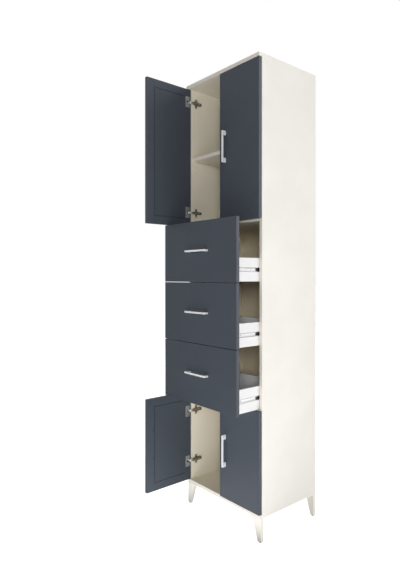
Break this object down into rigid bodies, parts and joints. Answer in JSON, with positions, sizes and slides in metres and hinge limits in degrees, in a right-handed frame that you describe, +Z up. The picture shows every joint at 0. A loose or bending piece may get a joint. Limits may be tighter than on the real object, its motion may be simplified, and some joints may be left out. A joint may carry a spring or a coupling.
{
  "type": "tall storage cabinet",
  "caption": "Tall narrow bathroom cabinet with hinged doors above and below and pull-out drawers between, on tapered legs.",
  "frame": {"origin": "on the floor under the middle of the carcass, half-way across its width and half-way along its side panels' depth", "axes": "+Z up, -Y towards the front (doors and drawers), +X to the right of a person who faces the front"},
  "size_m": [0.5192, 0.6025, 2.0563],
  "materials": {
    "cream_foil": "matt cream decor foil on chipboard",
    "cream_board": "matt cream painted fibreboard",
    "cream_plastic": "moulded cream plastic",
    "slate_front": "super-matt slate grey foil",
    "white_foil": "smooth white foil",
    "satin_nickel": "satin nickel",
    "nickel": "nickel plated, slightly warm",
    "zinc_steel": "bright zinc plated",
    "runner_steel": "zinc plated, rolled",
    "grey_plastic": "moulded grey plastic",
    "beech": "raw fluted beech"
  },
  "bodies": {
    "carcass": {"top_board": "cream_foil", "bottom_board": "cream_foil", "left_side_panel": "cream_foil", "right_side_panel": "cream_foil", "upper_divider": "cream_foil", "lower_divider": "cream_foil", "back_panel": "cream_board", "adjustable_shelf": "cream_foil", "shelf_pins": "cream_plastic", "front_left_leg": "cream_foil", "front_right_leg": "cream_foil", "rear_left_leg": "cream_foil", "rear_right_leg": "cream_foil", "leg_glides": "grey_plastic", "carcass_screws": "zinc_steel", "cam_fittings": "zinc_steel", "wood_dowels": "beech", "wall_brackets": "zinc_steel", "hinge_plates": "nickel", "hinge_arms": "nickel", "hinge_pins": "zinc_steel", "hinge_screws": "zinc_steel", "cabinet_runners": "runner_steel"},
    "upper_left_door": {"upper_left_door": "slate_front", "upper_left_handle": "satin_nickel", "upper_left_cups": "nickel", "upper_left_screws": "zinc_steel"},
    "upper_right_door": {"upper_right_door": "slate_front", "upper_right_handle": "satin_nickel", "upper_right_cups": "nickel", "upper_right_screws": "zinc_steel"},
    "lower_left_door": {"lower_left_door": "slate_front", "lower_left_handle": "satin_nickel", "lower_left_cups": "nickel", "lower_left_screws": "zinc_steel"},
    "lower_right_door": {"lower_right_door": "slate_front", "lower_right_handle": "satin_nickel", "lower_right_cups": "nickel", "lower_right_screws": "zinc_steel"},
    "top_drawer": {"top_drawer_front": "slate_front", "top_drawer_sides": "white_foil", "top_drawer_back": "white_foil", "top_drawer_bottom": "white_foil", "top_drawer_handle": "satin_nickel", "top_drawer_runners": "runner_steel", "top_drawer_fittings": "zinc_steel"},
    "middle_drawer": {"middle_drawer_front": "slate_front", "middle_drawer_sides": "white_foil", "middle_drawer_back": "white_foil", "middle_drawer_bottom": "white_foil", "middle_drawer_handle": "satin_nickel", "middle_drawer_runners": "runner_steel", "middle_drawer_fittings": "zinc_steel"},
    "bottom_drawer": {"bottom_drawer_front": "slate_front", "bottom_drawer_sides": "white_foil", "bottom_drawer_back": "white_foil", "bottom_drawer_bottom": "white_foil", "bottom_drawer_handle": "satin_nickel", "bottom_drawer_runners": "runner_steel", "bottom_drawer_fittings": "zinc_steel"}
  },
  "joints": [
    {"name": "upper_left_hinge", "type": "hinge", "parent": "carcass", "child": "upper_left_door", "pos_m": [-0.2425, -0.1865, 1.6775], "axis": [0, 0, 1], "range_deg": [-5, 90]},
    {"name": "upper_right_hinge", "type": "hinge", "parent": "carcass", "child": "upper_right_door", "pos_m": [0.2425, -0.1865, 1.6775], "axis": [0, 0, 1], "range_deg": [0, 95]},
    {"name": "lower_left_hinge", "type": "hinge", "parent": "carcass", "child": "lower_left_door", "pos_m": [-0.2425, -0.1865, 0.33113], "axis": [0, 0, 1], "range_deg": [-5, 90]},
    {"name": "lower_right_hinge", "type": "hinge", "parent": "carcass", "child": "lower_right_door", "pos_m": [0.2425, -0.1865, 0.33113], "axis": [0, 0, 1], "range_deg": [0, 95]},
    {"name": "top_drawer_slide", "type": "slide", "parent": "carcass", "child": "top_drawer", "axis": [0, -1, 0], "range_m": [-0.125, 0.055]},
    {"name": "middle_drawer_slide", "type": "slide", "parent": "carcass", "child": "middle_drawer", "axis": [0, -1, 0], "range_m": [-0.125, 0.055]},
    {"name": "bottom_drawer_slide", "type": "slide", "parent": "carcass", "child": "bottom_drawer", "axis": [0, -1, 0], "range_m": [-0.125, 0.055]}
  ]
}
